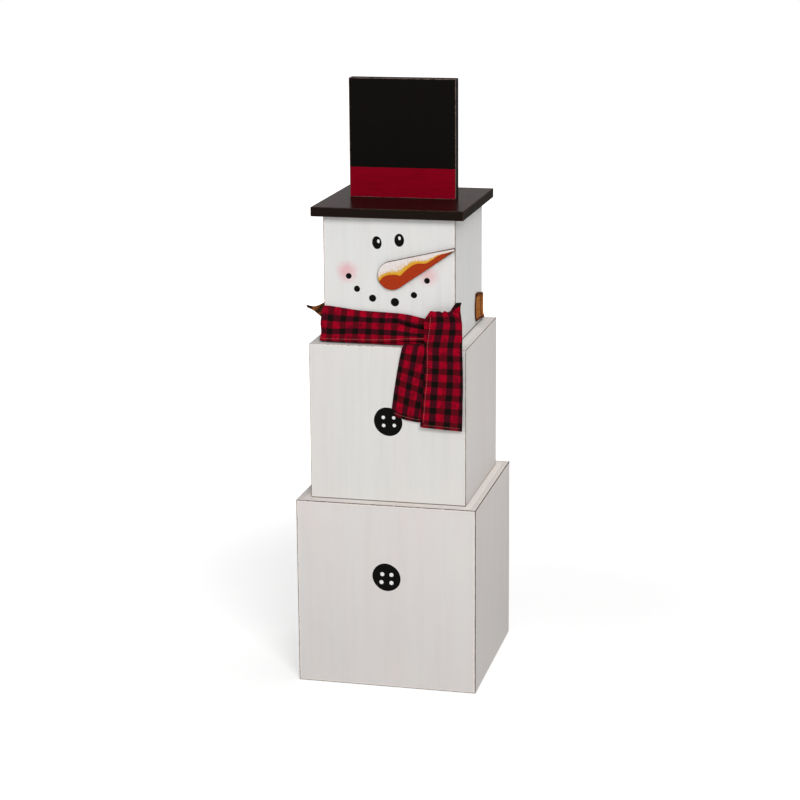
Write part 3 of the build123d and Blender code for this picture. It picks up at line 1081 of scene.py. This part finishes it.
UNDER_TAIL = [
    (7, 76, 113.2, 3.2, 27, 112.8, 2.6, 59.5, -3), (14, 76.5, 120.3, 2.7, 26, 119.2, 2.7, 59.5, -3),
    (20, 76, 124, -5.4, 24.6, 123.4, -2.2, 59.5, -3), (42, 71.5, 123, -36, 20, 122.8, -23, 59.5, -3),
    (80, 64.5, 122.8, -74, 13.6, 122.6, -58.5, 59.5, -3),
    (119.5, 57.4, 122.8, -112.8, 7.4, 122.6, -103, 59.5, -3),
]
UNDER_WAVES = [(1.0, 19, 60, 0.0), (0.5, 9, 22, 2.0), (0.25, 5, 9, 4.4)]
KNOT = [
    (0, 71, 104, 9, 71, 104, 38, 38, -3), (13, 83, 104.2, 8, 83, 104, 40, 38, -3),
    (26, 96, 104, 9, 96, 104, 39, 38, -3),
]
KNOT_WAVES = [(1.0, 6, 40, 0.0)]
EAR = [
    (6, 110.6, 105.4, 42, 93.4, 105.4, 43.6, 18.5, -2), (12, 110, 105.6, 48, 93, 105.6, 50, 18, -2),
    (20, 109.3, 106.4, 56.5, 96.4, 106.2, 57, 14, -1.5),
    (28, 109.6, 106.4, 63, 100.2, 106.2, 63.4, 10.5, -1),
    (34, 110.8, 106.2, 68.9, 103.8, 105.8, 68.2, 8, 0),
]
EAR_WAVES = [(0.8, 5, 14, 0.4)]
LOOSE_END = [
    (7, 98.4, 105.4, 9, 98.2, 105, 39.5, 40, -2), (13, 103.9, 103.9, 9.5, 103.5, 103.5, 40.5, 40, -2),
    (28, 104.6, 89, 10.5, 103.6, 88.5, 46.5, 43, -2), (78, 104.8, 39, 11, 103.6, 38.5, 53, 44, -2),
    (138, 104.6, -20, 12, 103.4, -21, 55, 44, -2), (160, 106.5, -41, 13, 104.2, -42, 55.4, 44, -2),
    (170, 112.5, -47, 19.5, 109.5, -48, 52, 40, -1), (181, 120.5, -48.4, 26, 117.5, -48.4, 46.5, 30, 0),
    (194, 132, -48.2, 34.8, 130.5, -48, 41, 18, 0), (208, 143.2, -47.8, 39.8, 143.9, -47.6, 42.2, 8, 0),
]
LOOSE_WAVES = [(0.9, 12, 40, 0.0), (0.4, 7, 20, 2.0)]


# What the pieces of one scarf share; side, the side of the figure that it is on, is not used.
Scarf = namedtuple("Scarf", "prefix side material slot turn check_scale seed")


def sew(scarf, part, strip, dark, seams=(), stretch=(1.0, 1.0)):
    """Dark stripes cross at dark (u, v), and stretch is that of the check across and along.
    """
    prefix, side, material, slot, turn, check_scale, seed = scarf
    phase = (dark[0], stretch[0] * (REPEAT_ACROSS * check_scale),
             dark[1], stretch[1] * (REPEAT_ALONG * check_scale))
    replaced = [] if part == "ear" else [f"{prefix}_{part}"]
    piece = cloth_mesh(f"{prefix}_{part}_cloth", strip, material, phase, turn)
    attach(piece, "root")
    if replaced:
        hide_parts(*replaced)
    sewn = []
    if seams:
        sewn = [stitches(f"{prefix}_{part}_stitches", strip, seams, turn)]


def make_band(scarf, stations, gather, dark, lie):
    """The band across the head, flat at its first end and gathered at the knot."""
    strip = Strip(stations, gather, belly=2.0, roll=2.6, marks=BAND_MARKS, creases=BAND_CREASES,
                  waves=BAND_WAVES, seed=scarf.seed, **lie)
    hem = seam(stations[0][0] + 2, stations[-1][0] - 2, HEM_STITCH)
    sew(scarf, "band", strip, dark, [hem])


def make_knot(scarf):
    """The knot, hidden behind the over tail, and the ear that stands up out of it."""
    strip = Strip(KNOT, belly=0.6, pleat=(6, 34, 0.6), waves=KNOT_WAVES, seed=scarf.seed + 2)
    sew(scarf, "knot", strip, (15.5, 4.0))
    strip = Strip(EAR, facing=-1, belly=-0.6, waves=EAR_WAVES, seed=scarf.seed + 3)
    sew(scarf, "ear", strip, (16.0, 31.0))


def make_tails(scarf):
    """The tail that comes over the knot, and the one that hangs from under it."""
    strip = Strip(OVER_TAIL, OVER_GATHER, gap=1.5, belly=0.8, marks=OVER_MARKS, crest=(31, 2.4),
                  back_stretch=1.09, waves=OVER_WAVES, seed=scarf.seed + 4)
    end = OVER_TAIL[-1][0]
    hems = [seam(44, end - 5, OVER_STITCH), seam(OVER_STITCH, 58, end - HEM_STITCH, lengthwise=False)]
    sew(scarf, "over_tail", strip, (14.6, 47.6), hems, (1.076, 1.02))
    strip = Strip(UNDER_TAIL, facing=-1, belly=0.6, bow=(0.0, 2.8), waves=UNDER_WAVES, seed=scarf.seed + 5)
    end = UNDER_TAIL[-1][0]
    hems = [seam(16, end - 5, HEM_STITCH), seam(HEM_STITCH, 57, end - HEM_STITCH, lengthwise=False)]
    sew(scarf, "under_tail", strip, (15.5, 30.0), hems, (1.0, 1.1))


def make_loose_end(scarf):
    """The end that runs along the head's side and stands out in a point."""
    strip = Strip(LOOSE_END, gap=1.5, belly=0.8, pleat=(14, 32, 0.8), waves=LOOSE_WAVES, seed=scarf.seed)
    hem = seam(LOOSE_END[0][0] + 4, 165, HEM_STITCH)
    sew(scarf, "loose_end", strip, (2.0, 204), [hem])


# ---------- the figure

# Lowest and highest corner, wear of the edges, width of the dark foot line (partly wear, partly painted
# contact shadow), and how far painted shade greys the foot.
TIERS = {
    "bottom": (bottom_low, bottom_high, 1.0, 0.5, 0.26),
    "middle": (middle_low, middle_high, 0.58, 0.65, 0.0),
    "head": (head_low, head_high, 0.72, 1.1, 0.0),
}
SIDES = {"front": ["front"], "side": ["right", "back", "left", "base"], "top": ["top"]}
# The white of each group of panels, and the pink that is washed over it. Part of the difference between
# fronts, sides and tops is painted light and shade: the lower tops lighter, the lower sides darker, and
# the head's sides lighter against the brim's shadow.
WHITES_WITH_PAINTED_LIGHT = {
    ("bottom", "front"): ((225, 221, 218), (225, 218, 216)),
    ("bottom", "side"): ((223, 217, 213), (222, 214, 210)),
    ("bottom", "top"): ((239, 232, 226), (240, 231, 224)),
    ("middle", "front"): ((226, 225, 222), (226, 223, 220)),
    ("middle", "side"): ((225, 221, 218), (224, 218, 215)),
    ("middle", "top"): ((230, 228, 225), (229, 225, 222)),
    ("head", "front"): ((229, 229, 227), (229, 227, 225)),
    ("head", "side"): ((234, 234, 232), (234, 232, 230)),
    ("head", "top"): ((229, 229, 227), (229, 227, 225)),
}
CHEEKS = [(-64.8, 641.6, 17.5, 0.6), (59.4, 639.4, 16.5, 0.46)]


def paint_boxes():
    for (tier, group), painted_light_whites in WHITES_WITH_PAINTED_LIGHT.items():
        cheeks = CHEEKS if (tier, group) == ("head", "front") else ()
        # Each group's white carries painted light and shade.
        paint = white_paint(f"{tier}_{group}_whitewash", *TIERS[tier], *painted_light_whites, cheeks)
        coat(paint, *[f"{tier}_{side}_panel" for side in SIDES[group]])


BRIM_BLACK = ((28, 22, 18), (36, 28, 23))
CROWN_BLACK = ((17, 15, 13), (23, 20, 18))
RIBBON = (46.2, (141, 5, 29), (124, 4, 26))


def paint_hat():
    """The brim, with a painted red reflection of the ribbon on its top, and the crown with its red ribbon.
    """
    # The brim's top colour is a painted red reflection of the ribbon.
    brim = hat_paint("brim_paint", *limits("hat_brim"), BRIM_BLACK, (60, 44, 38), wear=1.2,
                     roughness=(0.2, 0.32), top=(41, 16, 15), Specular_IOR_Level=0.005)
    coat(brim, "hat_brim")
    crown = hat_paint("crown_paint", *limits("hat_crown"), CROWN_BLACK, (112, 95, 88), wear=1.15,
                      roughness=(0.48, 0.62), band=RIBBON, Specular_IOR_Level=0.006)
    coat(crown, "hat_crown")


# Light and deep shade of the bright squares, of the stripes and of the stripes that cross them; the
# dark squares; the stripes' share of a repeat; sheen; and the share of dark flecks. The mottle between the
# bright squares' two tones is partly random tone and partly painted shade of small folds.
CHECKS = {
    "red_check": (((178, 1, 35), (106, 5, 26)), ((80, 12, 28), (44, 13, 21)), ((108, 9, 25), (58, 12, 19)),
                  (20, 14, 11), 0.46, 0.015),
    "brown_check": (((226, 142, 68), (182, 108, 46)), ((118, 68, 36), (86, 48, 24)),
                    ((118, 68, 36), (88, 50, 26)), (44, 28, 22), 0.18, 0.0, 0.6),
    # A darker copy of the brown check: painted shade for the loose end, which stands in shade.
    "brown_check_painted_shade": (((168, 100, 48), (120, 70, 32)), ((84, 49, 27), (58, 33, 19)),
                              ((84, 49, 27), (60, 35, 20)), (34, 24, 22), 0.32, 0.0, 0.7),
}

paint_boxes()
coat(raw_wood("pine"), "bottom_battens", "middle_battens", "head_battens")
coat(screw_steel("zinc_steel"), "base_screws", "lower_tier_screws", "upper_tier_screws", "brim_screws",
     "crown_screws")
paint_hat()
coat(nose_paint("carrot_paint"), "carrot_nose")

black_mark = flat_paint("black_mark", (12, 12, 11), (24, 23, 22), 0.02)
white_mark = flat_paint("white_mark", (240, 238, 236), (226, 224, 222), 0.3)
paint_face()
paint_buttons()

red_check, brown_check, brown_painted_shade = [check_cloth(name, *look) for name, look in CHECKS.items()]
thread_paint = thread("thread", (196, 108, 98), (156, 78, 72))
FRONT = Matrix.Identity(3)
BACK = Matrix.Rotation(pi, 3, "Z")
front_scarf = Scarf("front_scarf", "front", red_check, "red_check_cloth", FRONT, 1.0, 0)
back_scarf = Scarf("back_scarf", "back", brown_check, "brown_check_cloth", BACK, BROWN_SCALE, 20)
# The loose end takes the darker copy of the brown check as painted shade.
loose_end = Scarf("back_scarf", "back", brown_painted_shade, "brown_check_cloth", BACK, BROWN_SCALE, 11)
for scarf, band in ((front_scarf, (FRONT_BAND, FRONT_GATHER, (17, 27.0), FRONT_LIE)),
                    (back_scarf, (BACK_BAND, BACK_GATHER, (1.0, 28.0), BACK_LIE))):
    make_band(scarf, *band)
    make_knot(scarf)
    make_tails(scarf)
make_loose_end(loose_end)
